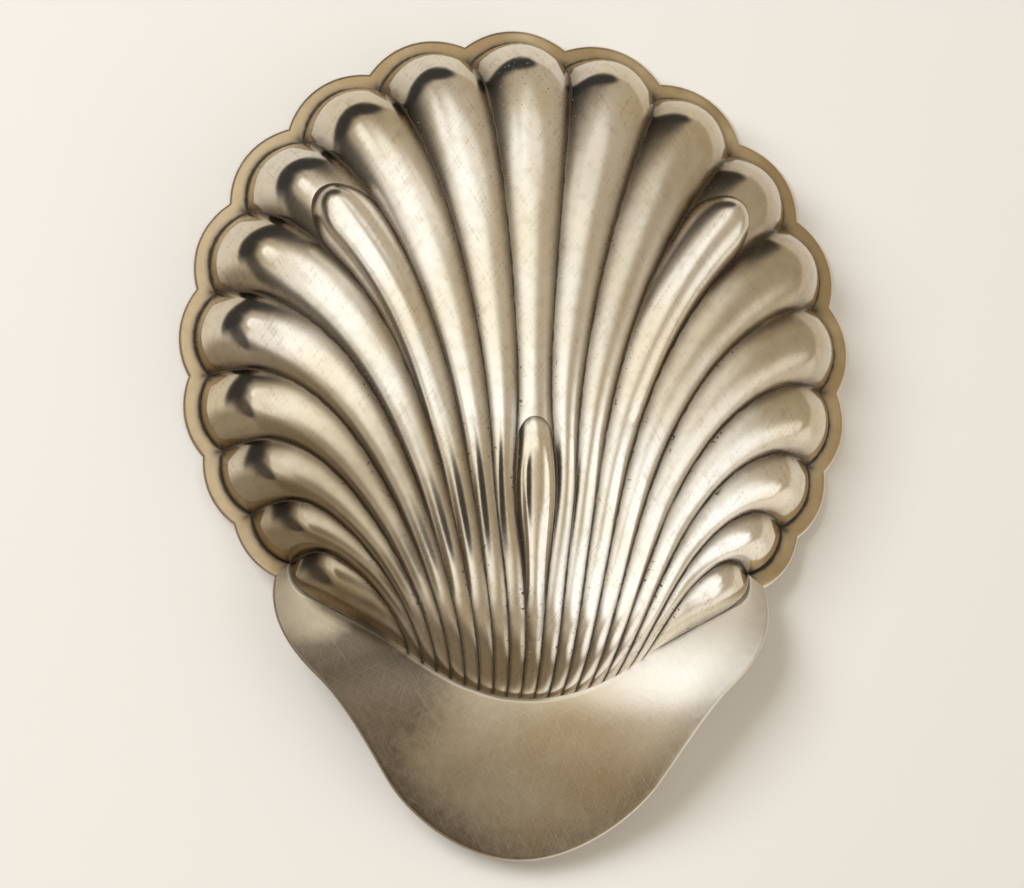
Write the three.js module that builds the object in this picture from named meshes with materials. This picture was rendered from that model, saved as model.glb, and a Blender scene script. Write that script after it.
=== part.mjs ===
// A shell dish of silver plate: a fluted bowl, a scalloped border, a plain apron at the hinge and three feet.
//
// Every piece is worked out in the rim's frame: the origin is the centre of the rim circle, +Y points to the
// top of the fan, and depth is measured down from the rim. The group then stands the dish on its feet.
// A place on the bowl is a flute number and a share of the way along it. Flute 0 runs up the middle, whole
// numbers are the crests and halves are the creases between them. The share runs from 0 at the hinge to 1
// at the rim.

import * as THREE from 'three';

// Sheets and seams
const SHEET = 0.9; // bowl metal
const SEAM = 0.25; // solder gap between the bowl and what is soldered round it
const BORDER_THICKNESS = 1.2;
const APRON_THICKNESS = 1.2;

// Rim: the creases end on a circle, and each flute ends in a lobe that stands out from it
const RIM_RADIUS = 55.1; // outer cusps
const LOBE_RISE = 2.4; // outer lobes past the cusps, at the top of the fan
const BORDER_AT_CUSP = 3.3;
const BORDER_AT_LOBE = 2.3;
const LOBE_ANGLE = 17.9; // degrees from one crest to the next at the top of the fan
const LOBE_ANGLE_LOSS = 0.0335; // how fast the lobes narrow towards the hinge

// Flutes
const FLUTES_EACH_SIDE = 9;
const FLANK_ANGLE_AT_RIM = 36; // degrees, slope of a flute at its creases
const FLANK_ANGLE_AT_HINGE = 24;
const HINGE_WIDTH = 43.7; // hinge line from corner to corner
const HINGE_REACH = 57; // rim centre to the middle of the hinge
const HINGE_RISE = 9.07; // corners of the hinge line above its middle
const HINGE_FAN = 3.1; // degrees of lean per flute where it leaves the hinge
const HINGE_PULL = 0.384; // handle of a flute's curve at the hinge, a share of its chord
const RIM_PULL = 0.35; // handle at the rim
const FLUTE_HINGE_RUN = 0.6; // length over which a flute rounds off at the hinge

// Last flute, tucked against the apron's corner
const LAST_END = new THREE.Vector2(36.8, -39.6);
const LAST_LEAN_AT_HINGE = 60; // degrees from +Y
const LAST_LEAN_AT_RIM = 61;
const LAST_LOBE_RISE = 0.8;

// Bowl section along a flute
const BOWL_DEPTH = 19; // creases, at the deepest
const DEEPEST_SHARE = 0.38;
const SHOULDER_DEPTH_SHARE = 0.5; // of the depth, where the end wall starts
const RIM_WALL_RUN = 7; // length of the rounded end wall at the rim
const BELLY_POWER = 5; // how flat the floor is before it turns up to the rim
const HINGE_WALL_POWER = 0.65;

// Edge line seen from the side: it dips at the hinge
const EDGE_DIP = 10.4;
const EDGE_DIP_SPREAD = 23.4;

// Apron outline
const APRON_TIP_REACH = 82.8;
const APRON_CORNER_SWELL = new THREE.Vector2(42.6, -42);
const APRON_CORNER_TURN = new THREE.Vector2(41, -47.6);
const APRON_SIDE = new THREE.Vector2(35, -53.5);
const APRON_NECK = new THREE.Vector2(22.9, -70);
const APRON_SIDE_LEAN = 226; // degrees from +Y, the way the outline runs there
const APRON_NECK_LEAN = 214;
const APRON_SIDE_HANDLE = 6;
const APRON_NECK_HANDLE = 7;
const APRON_TIP_HANDLE = 9.5;

// Feet
const FOOT_DROP = 2.4; // table below the deepest crease
const FOOT_SEAM = 0.35; // solder gap under a foot
const FOOT_EDGE = 0.5; // thickness at a foot's edge
const FOOT_GRIND = 0.5; // taken off to make the flat
const FOOT_SQUARENESS = 5; // outer half of a side foot at its toe: 2 is an even arc, more is squarer
const SIDE_FOOT_FLUTE = 3;
const SIDE_FOOT_TOE_SHARE = 0.895; // where a side foot ends on its flute
const SIDE_FOOT_TAIL_SHARE = 0.42;
const SIDE_FOOT_TOE_RUN = 6.5; // length of the rounded toe
const SIDE_FOOT_TAIL_RUN = 42; // length of the slope at the tail
const SIDE_FOOT_TOE_SQUARENESS = 5; // along the toe, as across it
const HINGE_FOOT_TOE_SHARE = 0.395;
const HINGE_FOOT_TAIL_SHARE = 0.06;
const HINGE_FOOT_TOE_RUN = 9;
const HINGE_FOOT_TAIL_RUN = 26;
const HINGE_FOOT_TOE_SQUARENESS = 2;
const HINGE_FOOT_SWELL = 1.5; // how far the middle flute's creases part round the foot
const HINGE_FOOT_SWELL_SHARE = 0.29;
const HINGE_FOOT_SWELL_SPREAD = 0.11;

// Facets
const STEPS_PER_FLUTE = 6;
const BOWL_ROWS = 18;
const APRON_ROWS = 5;
const LAST_EDGE_STEPS = 10;
const FOOT_ROWS = 14;
const FOOT_STEPS = 10; // across a foot
const FOOT_CROWDING = 0.85; // below 1 draws the steps towards a foot's sides, which are steep

const LAST_CREASE = FLUTES_EACH_SIDE - 0.5;
const EDGE_CREASE = FLUTES_EACH_SIDE + 0.5;
const STAND_DEPTH = BOWL_DEPTH + FOOT_DROP; // rim to the table
const INNER_CUSP_RADIUS = RIM_RADIUS - BORDER_AT_CUSP;
const INNER_LOBE_RISE = RIM_RADIUS + LOBE_RISE - BORDER_AT_LOBE - INNER_CUSP_RADIUS;

const rad = THREE.MathUtils.degToRad;
const clamp = THREE.MathUtils.clamp;
const lerp = THREE.MathUtils.lerp;

// Unit vector in plan, its angle turned from +Y towards +X
const heading = (angle) => new THREE.Vector2(Math.sin(angle), Math.cos(angle));
// Quarter of an ellipse: 0 at a wall's foot, upright there, and 1 from one run away
const nose = (share) => Math.sqrt(1 - (1 - clamp(share, 0, 1)) ** 2);
// Slope that starts and ends level
const ramp = (share) => THREE.MathUtils.smoothstep(share, 0, 1);
const crestOf = (s) => clamp(Math.round(s), -FLUTES_EACH_SIDE, FLUTES_EACH_SIDE);
const lobe = (s) => 1 - (2 * (s - crestOf(s))) ** 2;
// The lobes narrow towards the hinge and stand out less there, as arcs of one radius do
const rimLobe = (s) => lobe(s) * (1 - (3 * LOBE_ANGLE_LOSS * crestOf(s) ** 2) / LOBE_ANGLE) ** 2;
const rimAngle = (s) => rad(LOBE_ANGLE * s - LOBE_ANGLE_LOSS * s ** 3);

function hingePoint(s) {
  const share = s / EDGE_CREASE;
  return new THREE.Vector2((HINGE_WIDTH / 2) * share, HINGE_RISE * share ** 2 - HINGE_REACH);
}

// Control points of the curve that a flute number follows, from the hinge to the rim
function fluteHandles(s) {
  const outward = heading(rimAngle(s));
  const rim = outward.clone().multiplyScalar(INNER_CUSP_RADIUS + INNER_LOBE_RISE * rimLobe(s));
  const hinge = hingePoint(s);
  const chord = hinge.distanceTo(rim);
  const atHinge = hinge.clone().addScaledVector(heading(rad(HINGE_FAN * s)), HINGE_PULL * chord);
  const atRim = rim.clone().addScaledVector(outward, -RIM_PULL * chord);
  return [hinge, atHinge, atRim, rim];
}

// Control points of the bowl's lower edge, where the last flute meets the apron
function edgeHandles() {
  const hinge = hingePoint(EDGE_CREASE);
  const reach = hinge.distanceTo(LAST_END) / 3;
  const atHinge = hinge.clone().addScaledVector(heading(rad(LAST_LEAN_AT_HINGE)), reach);
  const atRim = LAST_END.clone().addScaledVector(heading(rad(LAST_LEAN_AT_RIM)), -reach);
  return [hinge, atHinge, atRim, LAST_END.clone()];
}

const lastCreaseHandles = fluteHandles(LAST_CREASE);
const lowerEdgeHandles = edgeHandles();

function lastFluteHandles(s) {
  const across = s - LAST_CREASE;
  const handles = lastCreaseHandles.map((point, i) => point.clone().lerp(lowerEdgeHandles[i], across));
  const along = lowerEdgeHandles[3].clone().sub(lastCreaseHandles[3]).normalize();
  const outward = new THREE.Vector2(-along.y, along.x);
  handles[3].addScaledVector(outward, LAST_LOBE_RISE * lobe(s));
  return handles;
}

// Place in plan of flute number s at share t
function plan(s, t) {
  const side = Math.sign(s);
  const number = Math.abs(s);
  const handles = number > LAST_CREASE ? lastFluteHandles(number) : fluteHandles(number);
  const place = new THREE.CubicBezierCurve(...handles).getPoint(t);
  const parting = Math.exp(-(((t - HINGE_FOOT_SWELL_SHARE) / HINGE_FOOT_SWELL_SPREAD) ** 2));
  place.x += HINGE_FOOT_SWELL * parting * 2 * number * Math.exp(1 - 2 * number);
  place.x *= side;
  return place;
}

const edgeDepth = (y) => EDGE_DIP * Math.exp(-(((y + HINGE_REACH) / EDGE_DIP_SPREAD) ** 2));

// Depth of the creases as a share of the bowl's depth
function section(t) {
  if (t < DEEPEST_SHARE) {
    return (1 - (1 - t / DEEPEST_SHARE) ** 2) ** HINGE_WALL_POWER;
  }
  const past = (t - DEEPEST_SHARE) / (1 - DEEPEST_SHARE);
  return 1 - (1 - SHOULDER_DEPTH_SHARE) * past ** BELLY_POWER;
}

// Depth of the bowl's outside below the rim
function bowlDepth(s, t) {
  const place = plan(s, t);
  const wall = nose(place.distanceTo(plan(s, 1)) / RIM_WALL_RUN);
  const ending = nose(place.distanceTo(plan(s, 0)) / FLUTE_HINGE_RUN);
  const crest = crestOf(s);
  const width = plan(crest - 0.5, t).distanceTo(plan(crest + 0.5, t));
  const flank = rad(lerp(FLANK_ANGLE_AT_HINGE, FLANK_ANGLE_AT_RIM, t));
  const fluteRise = (width / 4) * Math.tan(flank) * lobe(s);
  const dome = BOWL_DEPTH * Math.sqrt(Math.max(0, 1 - (s / EDGE_CREASE) ** 2)) * section(t);
  return edgeDepth(place.y) + wall * (dome + ending * fluteRise);
}

function onBowl(s, t) {
  const place = plan(s, t);
  return new THREE.Vector3(place.x, place.y, -bowlDepth(s, t));
}

// Even steps from one number to another, both ends kept
const steps = (from, to, count) => Array.from({ length: count + 1 }, (_, i) => lerp(from, to, i / count));
// The same, crowded towards both ends, where the walls stand up
const crowded = (count) => steps(0, Math.PI, count).map((angle) => (1 - Math.cos(angle)) / 2);

// Triangles of a grid of points, facing the way that columns turn to rows
function gridFaces(columns, rows, start, flip) {
  const faces = [];
  for (let i = 0; i + 1 < columns; i += 1) {
    for (let j = 0; j + 1 < rows; j += 1) {
      const a = start + i * rows + j;
      const [b, c, d] = [a + rows, a + rows + 1, a + 1];
      faces.push(...(flip ? [a, c, b, a, d, c] : [a, b, c, a, c, d]));
    }
  }
  return faces;
}

// Numbers of a grid's border points, once round
function gridRing(columns, rows) {
  const ring = [];
  for (let i = 0; i < columns - 1; i += 1) ring.push(i * rows);
  for (let j = 0; j < rows - 1; j += 1) ring.push((columns - 1) * rows + j);
  for (let i = columns - 1; i > 0; i -= 1) ring.push(i * rows + rows - 1);
  for (let j = rows - 1; j > 0; j -= 1) ring.push(j);
  return ring;
}

function indexed(points, faces) {
  const geometry = new THREE.BufferGeometry();
  geometry.setAttribute('position', new THREE.Float32BufferAttribute(points.flatMap((p) => p.toArray()), 3));
  geometry.setIndex(faces);
  return geometry;
}

// Closed body between an outer grid of points and an inner one, joined round the edge
function closedSheet(outer, inner) {
  const columns = outer.length;
  const rows = outer[0].length;
  const count = columns * rows;
  const faces = [...gridFaces(columns, rows, 0, false), ...gridFaces(columns, rows, count, true)];
  const ring = gridRing(columns, rows);
  ring.forEach((a, i) => {
    const b = ring[(i + 1) % ring.length];
    faces.push(b, a, a + count, b, a + count, b + count);
  });
  const geometry = indexed([...outer.flat(), ...inner.flat()], faces).toNonIndexed();
  geometry.computeVertexNormals();
  return geometry;
}

// The grid moved back by the sheet's thickness; along its edge it moves level, so that the edge stays flat
function innerFace(outer) {
  const columns = outer.length;
  const rows = outer[0].length;
  const surface = indexed(outer.flat(), gridFaces(columns, rows, 0, false));
  surface.computeVertexNormals();
  const normals = surface.getAttribute('normal');
  return outer.map((column, i) => column.map((point, j) => {
    const normal = new THREE.Vector3().fromBufferAttribute(normals, i * rows + j);
    if (i === 0 || j === 0 || i === columns - 1 || j === rows - 1) normal.setZ(0).normalize();
    return point.clone().addScaledVector(normal, -SHEET);
  }));
}

function bowlGeometry() {
  const numbers = steps(EDGE_CREASE, -EDGE_CREASE, 2 * EDGE_CREASE * STEPS_PER_FLUTE);
  const shares = crowded(BOWL_ROWS);
  const outer = numbers.map((s) => shares.map((t) => onBowl(s, t)));
  return closedSheet(outer, innerFace(outer));
}

const atDepth = (place, depth) => new THREE.Vector3(place.x, place.y, -depth);

function borderGeometry() {
  const numbers = steps(LAST_CREASE, -LAST_CREASE, 2 * LAST_CREASE * STEPS_PER_FLUTE);
  const band = numbers.map((s) => {
    const outward = heading(rimAngle(s));
    const inside = plan(s, 1).addScaledVector(outward, SEAM);
    const outside = outward.clone().multiplyScalar(RIM_RADIUS + LOBE_RISE * rimLobe(s));
    return [inside, outside];
  });
  const level = (lower) => band.map((pair) => pair.map((place) => atDepth(place, edgeDepth(place.y) + lower)));
  return closedSheet(level(BORDER_THICKNESS), level(0));
}

// Apron outline on the +X side, from the last rim cusp to the tip
function apronOutline() {
  const cusp = heading(rimAngle(LAST_CREASE)).multiplyScalar(RIM_RADIUS);
  const tip = new THREE.Vector2(0, -APRON_TIP_REACH);
  const sideRun = heading(rad(APRON_SIDE_LEAN));
  const neckRun = heading(rad(APRON_NECK_LEAN));
  const outline = new THREE.CurvePath();
  outline.add(new THREE.CubicBezierCurve(cusp, APRON_CORNER_SWELL, APRON_CORNER_TURN, APRON_SIDE));
  outline.add(new THREE.CubicBezierCurve(
    APRON_SIDE,
    APRON_SIDE.clone().addScaledVector(sideRun, APRON_SIDE_HANDLE),
    APRON_NECK.clone().addScaledVector(neckRun, -APRON_NECK_HANDLE),
    APRON_NECK,
  ));
  outline.add(new THREE.CubicBezierCurve(
    APRON_NECK,
    APRON_NECK.clone().addScaledVector(neckRun, APRON_NECK_HANDLE),
    tip.clone().setX(APRON_TIP_HANDLE),
    tip,
  ));
  return outline;
}

// The bowl's edge that the apron is soldered round, from the last rim cusp to the middle of the hinge
function apronSeam() {
  const lastLobe = steps(LAST_CREASE, EDGE_CREASE, STEPS_PER_FLUTE).map((s) => plan(s, 1));
  const lowerEdge = steps(1, 0, LAST_EDGE_STEPS).map((t) => plan(EDGE_CREASE, t));
  const hinge = steps(EDGE_CREASE, 0, 2 * EDGE_CREASE).map((s) => plan(s, 0));
  const edge = [...lastLobe, ...lowerEdge.slice(1), ...hinge.slice(1)];
  const middle = edge.length - 1;
  return edge.map((place, i) => {
    const before = edge[Math.max(0, i - 1)];
    const after = i === middle ? edge[i - 1].clone().setX(-edge[i - 1].x) : edge[i + 1];
    const along = after.clone().sub(before).normalize();
    return place.clone().add(new THREE.Vector2(-along.y, along.x).multiplyScalar(SEAM));
  });
}

function apronGeometry() {
  const seam = apronSeam();
  const outline = apronOutline();
  const lengths = [0];
  seam.slice(1).forEach((place, i) => lengths.push(lengths[i] + place.distanceTo(seam[i])));
  const total = lengths[lengths.length - 1];
  const half = seam.map((inside, i) => {
    const outside = outline.getPointAt(lengths[i] / total);
    const clear = i === 0 ? new THREE.Vector2(-inside.y, inside.x).setLength(-SEAM) : new THREE.Vector2();
    return steps(0, 1, APRON_ROWS).map((v) => inside.clone().lerp(outside, v).add(clear));
  });
  const otherHalf = half.map((row) => row.map((place) => place.clone().setX(-place.x)));
  const plate = [...otherHalf, ...half.slice(0, -1).reverse()];
  const level = (lower) => plate.map((row) => row.map((place) => atDepth(place, edgeDepth(place.y) + lower)));
  return closedSheet(level(APRON_THICKNESS), level(0));
}

// Arch that falls from 1 at the middle to 0 at the edge, which is 1 away
const arch = (away, squareness) => 1 - Math.abs(away) ** squareness;

// A foot covers one flute from its tail, near the hinge, to a round toe, and is ground flat where it stands
function footGeometry(crest, { toe, tail, toeRun, tailRun, toeSquareness }) {
  const outer = [];
  const inner = [];
  for (const even of steps(1, -1, FOOT_STEPS)) {
    const across = Math.sign(even) * Math.abs(even) ** FOOT_CROWDING;
    const s = crest + across / 2;
    const length = plan(crest, toe).distanceTo(plan(crest, tail));
    const halfWidth = plan(crest - 0.5, toe).distanceTo(plan(crest + 0.5, toe)) / 2;
    const toeRound = Math.sqrt(Math.max(0, 1 - across ** 2));
    const reach = 1 - (halfWidth * (1 - toeRound)) / length;
    const rowShares = crowded(FOOT_ROWS).map((v) => v * reach);
    const seat = rowShares.map((share) => onBowl(s, lerp(tail, toe, share)));
    seat.forEach((point) => { point.z -= FOOT_SEAM; });
    inner.push(seat);
    outer.push(seat.map((point, j) => {
      const crestSeat = bowlDepth(crest, lerp(tail, toe, rowShares[j])) + FOOT_SEAM + FOOT_EDGE;
      const lift = Math.max(0, STAND_DEPTH + FOOT_GRIND - crestSeat);
      const toeArch = arch(1 - clamp(((reach - rowShares[j]) * length) / toeRun, 0, 1), toeSquareness);
      const outerHalf = across * Math.sign(crest) > 0;
      const crown = arch(across, outerHalf ? lerp(2, FOOT_SQUARENESS, rowShares[j] ** 2) : 2);
      const tailRamp = ramp((rowShares[j] * length) / tailRun);
      const rise = lift * toeArch * tailRamp * crown;
      return point.clone().setZ(Math.max(-STAND_DEPTH, point.z - FOOT_EDGE - rise));
    }));
  }
  return closedSheet(outer, inner);
}

const sideFoot = {
  toe: SIDE_FOOT_TOE_SHARE,
  tail: SIDE_FOOT_TAIL_SHARE,
  toeRun: SIDE_FOOT_TOE_RUN,
  tailRun: SIDE_FOOT_TAIL_RUN,
  toeSquareness: SIDE_FOOT_TOE_SQUARENESS,
};
const hingeFoot = {
  toe: HINGE_FOOT_TOE_SHARE,
  tail: HINGE_FOOT_TAIL_SHARE,
  toeRun: HINGE_FOOT_TOE_RUN,
  tailRun: HINGE_FOOT_TAIL_RUN,
  toeSquareness: HINGE_FOOT_TOE_SQUARENESS,
};

const plate = (color, roughness) => new THREE.MeshStandardMaterial({ color, roughness, metalness: 1 });

function piece(name, geometry, material) {
  const mesh = new THREE.Mesh(geometry, material);
  mesh.name = name;
  return mesh;
}

const dish = new THREE.Group();
dish.position.set(0, (APRON_TIP_REACH - RIM_RADIUS - LOBE_RISE) / 2, STAND_DEPTH);
dish.add(
  piece('shell_bowl', bowlGeometry(), plate('#cbbda3', 0.28)),
  piece('rim_border', borderGeometry(), plate('#b39d79', 0.45)),
  piece('hinge_apron', apronGeometry(), plate('#b8a88c', 0.4)),
  piece('right_foot', footGeometry(SIDE_FOOT_FLUTE, sideFoot), plate('#d2c6ae', 0.3)),
  piece('left_foot', footGeometry(-SIDE_FOOT_FLUTE, sideFoot), plate('#d2c6ae', 0.3)),
  piece('hinge_foot', footGeometry(0, hingeFoot), plate('#c4b496', 0.3)),
);

export default dish;
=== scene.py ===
# %% [markdown]
# # A shell dish of silver plate
# The photograph looks at the underside of a scallop-shaped serving dish: a fluted bowl pressed from sheet,
# a flat scalloped border, a plain curved apron at the hinge and three raised feet. The packed solids give
# the dish its size and place. They could be shown as they are, but their facets would break up every
# reflection, so each piece is worked out again here from the same formulas on a much finer grid.

import bpy
import numpy as np
from mathutils import Matrix, Vector


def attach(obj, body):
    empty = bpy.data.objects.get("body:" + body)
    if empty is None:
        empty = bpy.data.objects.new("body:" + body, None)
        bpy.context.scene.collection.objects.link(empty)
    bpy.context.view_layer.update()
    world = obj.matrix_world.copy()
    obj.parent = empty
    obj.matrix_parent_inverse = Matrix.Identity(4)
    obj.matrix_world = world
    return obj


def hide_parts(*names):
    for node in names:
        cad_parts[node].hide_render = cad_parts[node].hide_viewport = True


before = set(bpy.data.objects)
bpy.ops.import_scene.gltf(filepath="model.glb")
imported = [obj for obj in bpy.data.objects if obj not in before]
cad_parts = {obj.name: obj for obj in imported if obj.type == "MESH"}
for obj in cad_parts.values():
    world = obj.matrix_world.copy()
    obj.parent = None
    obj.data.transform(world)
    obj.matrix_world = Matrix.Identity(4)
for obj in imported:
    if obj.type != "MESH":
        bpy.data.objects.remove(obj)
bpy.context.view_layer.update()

# %% [markdown]
# ## Measurements
# They are in millimetres, in the rim's own frame: the origin is the centre of the rim circle, +Y points to
# the top of the fan, and depth is measured down from the rim. A place on the bowl is a flute number and a
# share of the way along that flute. Flute 0 runs up the middle, whole numbers are crests and halves are
# creases. The share runs from 0 at the hinge to 1 at the rim. A formula in these two numbers draws every
# flute at once, where points set by hand would be different for each.

# %% Sizes of the dish
MM_IN_M = 1000
SHEET = 0.9  # bowl metal
PLATE = 1.2  # border and apron metal
RIM_RADIUS = 55.1  # outer cusps
LOBE_RISE = 2.4  # outer lobes past the cusps
BORDER_AT_CUSP = 3.3
BORDER_AT_LOBE = 2.3
LOBE_ANGLE = 17.9  # degrees from crest to crest at the top of the fan
LOBE_ANGLE_LOSS = 0.0335  # what the cube of a flute's number takes off its angle
FLUTES_EACH_SIDE = 9
FLANK_AT_RIM = 36  # degrees, slope of a flute at its creases
FLANK_AT_HINGE = 24
HINGE_WIDTH = 43.7
HINGE_RISE = 9.07  # of the hinge line's corners above its middle
HINGE_REACH = 57.0  # from the rim's centre to the hinge line
HINGE_FAN = 3.1  # degrees from flute to flute where they leave the hinge
HINGE_PULL = 0.384  # handles of a flute's curve, as shares of its chord
RIM_PULL = 0.35
FLUTE_HINGE_RUN = 0.6  # how soon a flute rises from the hinge line
LAST_END = np.array([36.8, -39.6])  # where the last flute's lower edge meets the rim
LAST_LEAN_AT_HINGE = np.radians(60)
LAST_LEAN_AT_RIM = np.radians(61)
LAST_LOBE_RISE = 0.8
BOWL_DEPTH = 19.0
DEEPEST_SHARE = 0.38  # where along a flute the hinge wall ends
SHOULDER_DEPTH_SHARE = 0.5
RIM_WALL_RUN = 7.0
BELLY_POWER = 5  # how flat the floor is before it turns up to the rim
HINGE_WALL_POWER = 0.65
EDGE_DIP = 10.4  # of the edge line at the hinge
EDGE_DIP_SPREAD = 23.4
FOOT_RISE = 2.4  # of the feet past the bowl's depth
HINGE_FOOT_SWELL = 1.5  # how far the creases part round the hinge foot
HINGE_FOOT_SWELL_SHARE = 0.29
HINGE_FOOT_SWELL_SPREAD = 0.11
APRON_TIP_REACH = 82.8  # from the rim's centre to the apron's tip

STAND_DEPTH = BOWL_DEPTH + FOOT_RISE
LAST_CREASE = FLUTES_EACH_SIDE - 0.5
EDGE_CREASE = FLUTES_EACH_SIDE + 0.5
INNER_CUSP_RADIUS = RIM_RADIUS - BORDER_AT_CUSP
INNER_LOBE_RISE = BORDER_AT_CUSP + LOBE_RISE - BORDER_AT_LOBE
RIM_CENTRE = np.array([0.0, (APRON_TIP_REACH - RIM_RADIUS - LOBE_RISE) / 2, STAND_DEPTH])
print("rim circle's centre in the row frame, mm:", RIM_CENTRE)

# %% [markdown]
# ## Flutes in plan
# Each flute is a cubic curve from the hinge line to the rim. Its ends are known from the outline, and its
# two handles say which way it leaves the hinge and meets the rim. Drawing nineteen curves by hand would do
# as well, but one rule for the handles keeps the flutes evenly spaced and lets a fraction of a flute be
# asked for.


# %% Curves of the flutes
def heading(angle):
    """Unit vectors in plan, their angle turned from +Y towards +X."""
    return np.stack([np.sin(angle), np.cos(angle)], -1)


def cubic_at(u, a, b, c, d):
    """Cubic curve from a to d with handles b and c: each is weighed by its powers of u and 1 - u."""
    return (1 - u) ** 3 * a + 3 * (1 - u) ** 2 * u * b + 3 * (1 - u) * u**2 * c + u**3 * d


def crest_of(s):
    """The flute that s lies on: s rounded, and no farther out than the last flute."""
    return np.clip(np.round(s), -FLUTES_EACH_SIDE, FLUTES_EACH_SIDE)


def lobe(s):
    """Parabola across a flute: 0 at its creases and 1 on its crest."""
    return 1 - (2 * (s - crest_of(s))) ** 2


def rim_lobe(s):
    """The lobe, lower towards the hinge, where lobes are narrower and of the same curvature."""
    number = np.minimum(np.abs(crest_of(s)), FLUTES_EACH_SIDE - 1)
    return lobe(s) * (1 - 3 * LOBE_ANGLE_LOSS * number**2 / LOBE_ANGLE) ** 2


def rim_angle(s):
    """Even steps round the rim, less a share of the cube, so that lobes get narrower towards the hinge."""
    return np.radians(LOBE_ANGLE * s - LOBE_ANGLE_LOSS * s**3)


def hinge_point(s):
    """The hinge line is a parabola whose corners stand up towards the fan."""
    share = s / EDGE_CREASE
    return np.stack([HINGE_WIDTH / 2 * share, HINGE_RISE * share**2 - HINGE_REACH], -1)


def flute_handles(s):
    """Four control points: hinge, along the fan from it, back from the rim, rim."""
    outward = heading(rim_angle(s))
    rim = outward * (INNER_CUSP_RADIUS + INNER_LOBE_RISE * rim_lobe(s))[..., None]
    hinge = hinge_point(s)
    chord = np.linalg.norm(rim - hinge, axis=-1, keepdims=True)
    at_hinge = hinge + heading(np.radians(HINGE_FAN * s)) * HINGE_PULL * chord
    return [hinge, at_hinge, rim - outward * RIM_PULL * chord, rim]


def edge_handles():
    """Control points of the lower edge of the last flute, against the apron, with handles of a third."""
    hinge = hinge_point(np.array(EDGE_CREASE))
    reach = np.linalg.norm(LAST_END - hinge) / 3
    at_hinge = hinge + heading(LAST_LEAN_AT_HINGE) * reach
    return [hinge, at_hinge, LAST_END - heading(LAST_LEAN_AT_RIM) * reach, LAST_END]


def plan(s, t):
    """Cubic curve at share t; the last flute runs between its crease and the apron's edge, and the creases
    beside flute 0 part round the hinge foot by a bell curve along it."""
    s, t = np.broadcast_arrays(np.asarray(s, float), np.asarray(t, float))
    number = np.abs(s)
    crease = flute_handles(np.array(LAST_CREASE))
    past = np.clip(number - LAST_CREASE, 0, 1)[..., None]
    flutes = flute_handles(np.minimum(number, LAST_CREASE))
    a, b, c, d = [f + past * (e - k) for f, e, k in zip(flutes, edge_handles(), crease)]
    along = (LAST_END - crease[3]) / np.linalg.norm(LAST_END - crease[3])
    last_lobe = np.where(past > 0, LAST_LOBE_RISE * lobe(number)[..., None], 0)
    d = d + last_lobe * np.array([-along[1], along[0]])
    place = cubic_at(t[..., None], a, b, c, d)
    parting = np.exp(-(((t - HINGE_FOOT_SWELL_SHARE) / HINGE_FOOT_SWELL_SPREAD) ** 2))
    x = place[..., 0] + HINGE_FOOT_SWELL * parting * 2 * number * np.exp(1 - 2 * number)
    return np.stack([x * np.sign(s), place[..., 1]], -1)


print("crests meet the rim at, degrees:", np.degrees(rim_angle(np.arange(FLUTES_EACH_SIDE))).round(1))

# %% [markdown]
# ## Depth of the bowl
# The pressing is a shallow dome with an upright rounded wall at the rim and a steeper one at the hinge, and
# each flute is an arc laid on it. The creases could be left as knife edges, but pressed sheet never folds
# that tight, so the distance to the crease is eased by a fifth of a millimetre before the arc is taken.

# %% Dome, walls and flutes
CREASE_EASE = 0.018  # of a flute's width


def nose(share):
    """Quarter of an ellipse: 0 and upright at a wall's foot, 1 from one run away."""
    return np.sqrt(1 - (1 - np.clip(share, 0, 1)) ** 2)


def distance(a, b):
    """Lengths of the differences between two sets of points."""
    return np.linalg.norm(a - b, axis=-1)


def edge_depth(y):
    """The edge line dips at the hinge by a bell curve."""
    return EDGE_DIP * np.exp(-(((y + HINGE_REACH) / EDGE_DIP_SPREAD) ** 2))


def section(t):
    """Share of the depth: a steep wall at the hinge, then a belly that rises by a power to the shoulder."""
    wall = (1 - (1 - np.clip(t / DEEPEST_SHARE, 0, 1)) ** 2) ** HINGE_WALL_POWER
    past = np.clip((t - DEEPEST_SHARE) / (1 - DEEPEST_SHARE), 0, 1)
    return np.where(t < DEEPEST_SHARE, wall, 1 - (1 - SHOULDER_DEPTH_SHARE) * past**BELLY_POWER)


def across_flute(s):
    """The lobe's parabola with its creases eased: about 0 at a crease and 1 on the crest."""
    to_crease = np.hypot(0.5 - np.abs(s - crest_of(s)), CREASE_EASE)
    return 4 * to_crease * (1 - to_crease)


def flute_width(s, t):
    """Distance between the creases on both sides of a flute."""
    crest = crest_of(s)
    return distance(plan(crest - 0.5, t), plan(crest + 0.5, t))


def bowl_depth(s, t):
    """Edge line, plus the end wall times the dome and the flute's arc."""
    s, t = np.broadcast_arrays(np.asarray(s, float), np.asarray(t, float))
    place = plan(s, t)
    wall = nose(distance(place, plan(s, 1)) / RIM_WALL_RUN)
    ending = nose(distance(place, plan(s, 0)) / FLUTE_HINGE_RUN)
    flank = np.radians(FLANK_AT_HINGE + (FLANK_AT_RIM - FLANK_AT_HINGE) * t)
    rise = flute_width(s, t) / 4 * np.tan(flank) * across_flute(s)
    dome = BOWL_DEPTH * np.sqrt(np.clip(1 - (s / EDGE_CREASE) ** 2, 0, 1)) * section(t)
    return edge_depth(place[..., 1]) + wall * (dome + ending * rise)


def points_at(place, depth):
    """Points in the rim's frame from places in plan and depths below the rim."""
    return np.concatenate([place, -np.broadcast_to(depth, place.shape[:-1])[..., None]], -1)


print("deepest crest, mm:", bowl_depth(0.0, np.linspace(0, 1, 200)).max().round(2))

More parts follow.
